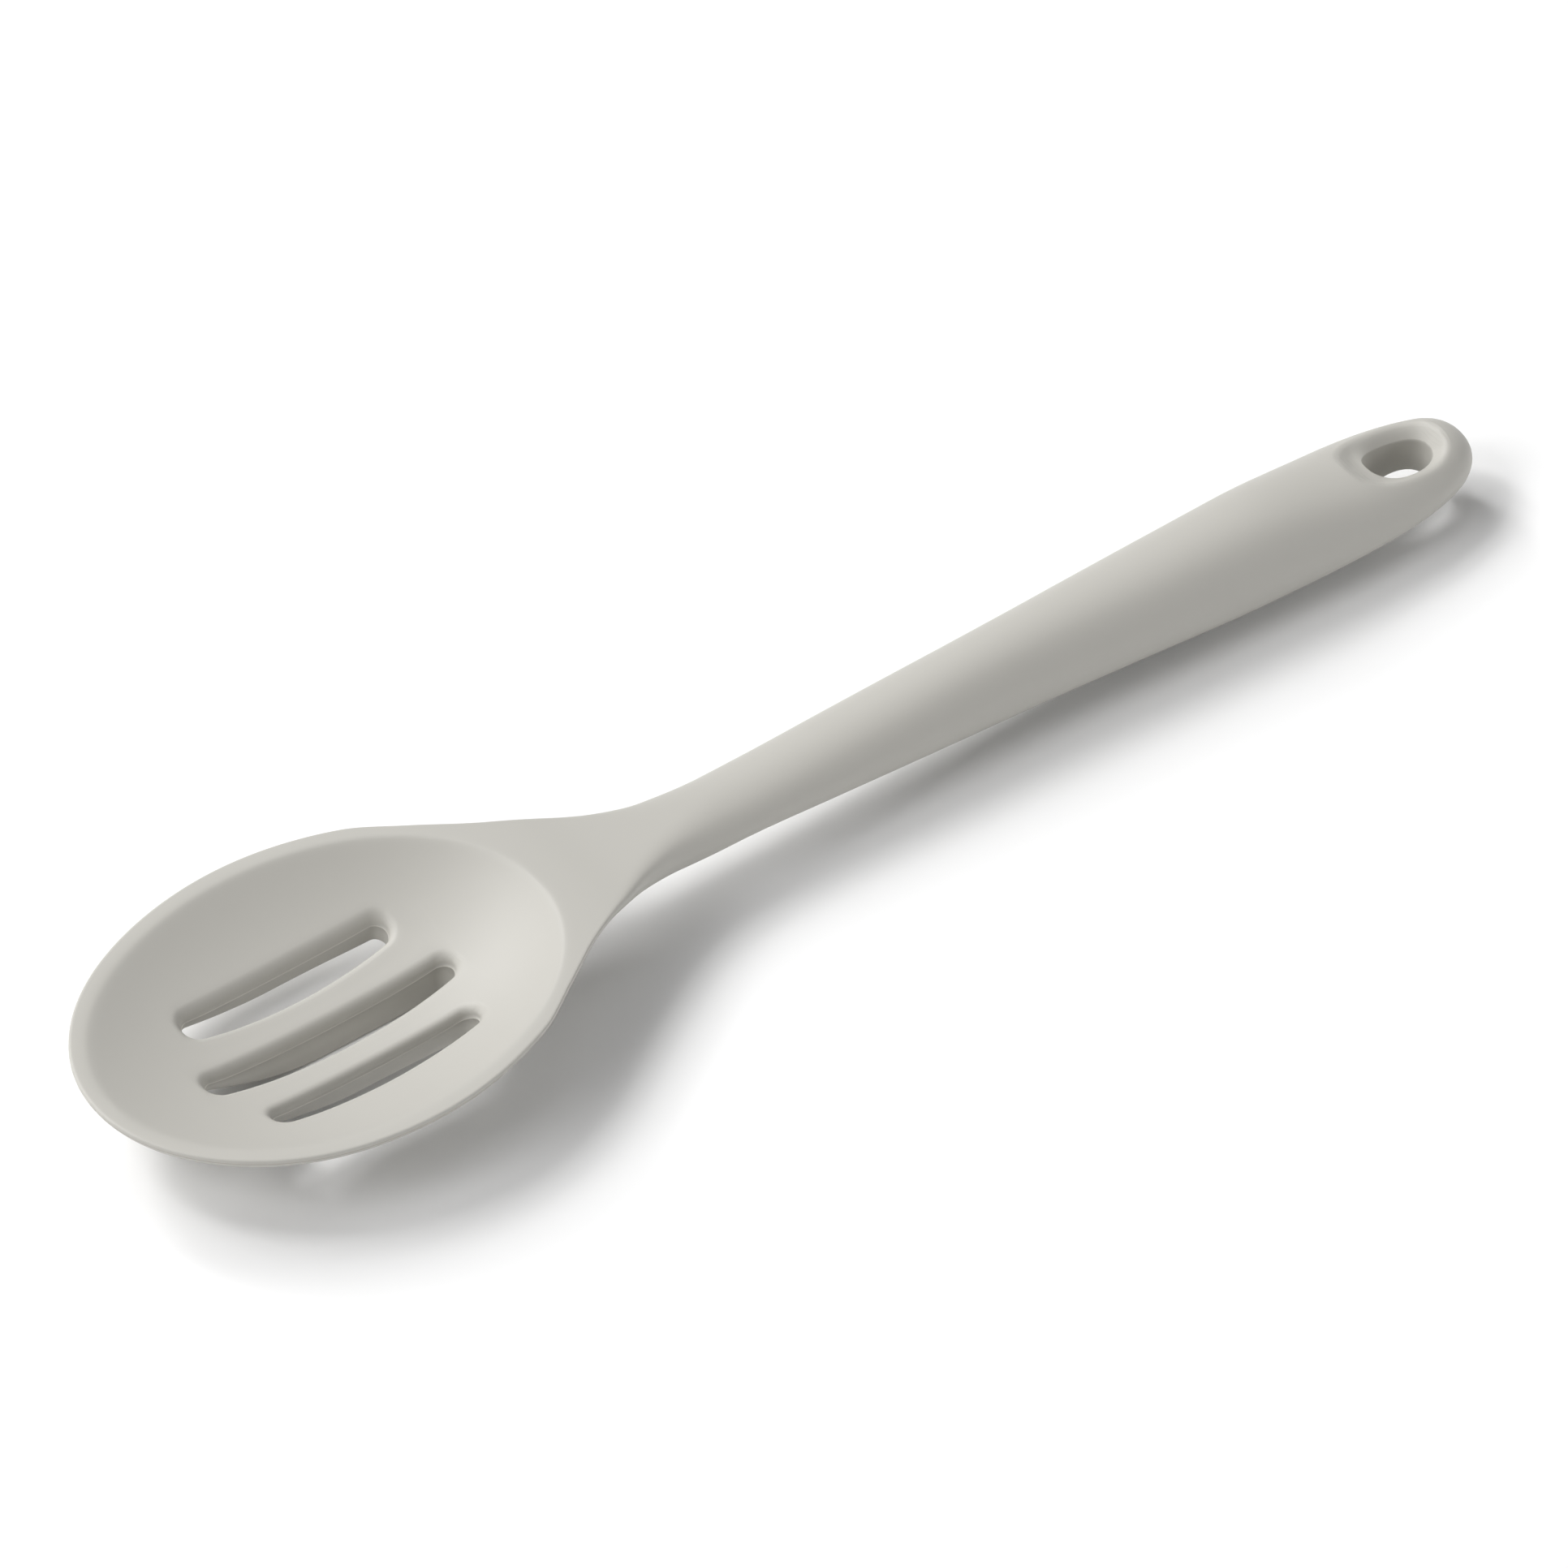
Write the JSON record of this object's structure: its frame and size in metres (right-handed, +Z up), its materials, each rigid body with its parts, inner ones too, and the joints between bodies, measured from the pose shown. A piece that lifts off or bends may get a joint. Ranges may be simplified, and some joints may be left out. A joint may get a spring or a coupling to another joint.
{
  "type": "slotted serving spoon",
  "caption": "Slotted serving spoon: soft silicone moulded over a stiff core, oval dished bowl with long drain slots, round tapered handle with an oval hanging hole.",
  "frame": {"origin": "middle of the spoon's bounding box, on the ground it lies on", "axes": "+X from the bowl to the handle's end, +Z up out of the open bowl, +Y to the left seen from the bowl"},
  "size_m": [0.29, 0.0704, 0.0196],
  "materials": {
    "silicone": "matte",
    "core_nylon": "matte"
  },
  "bodies": {
    "root": {"silicone_skin": "silicone", "stiff_core": "core_nylon"}
  },
  "joints": []
}
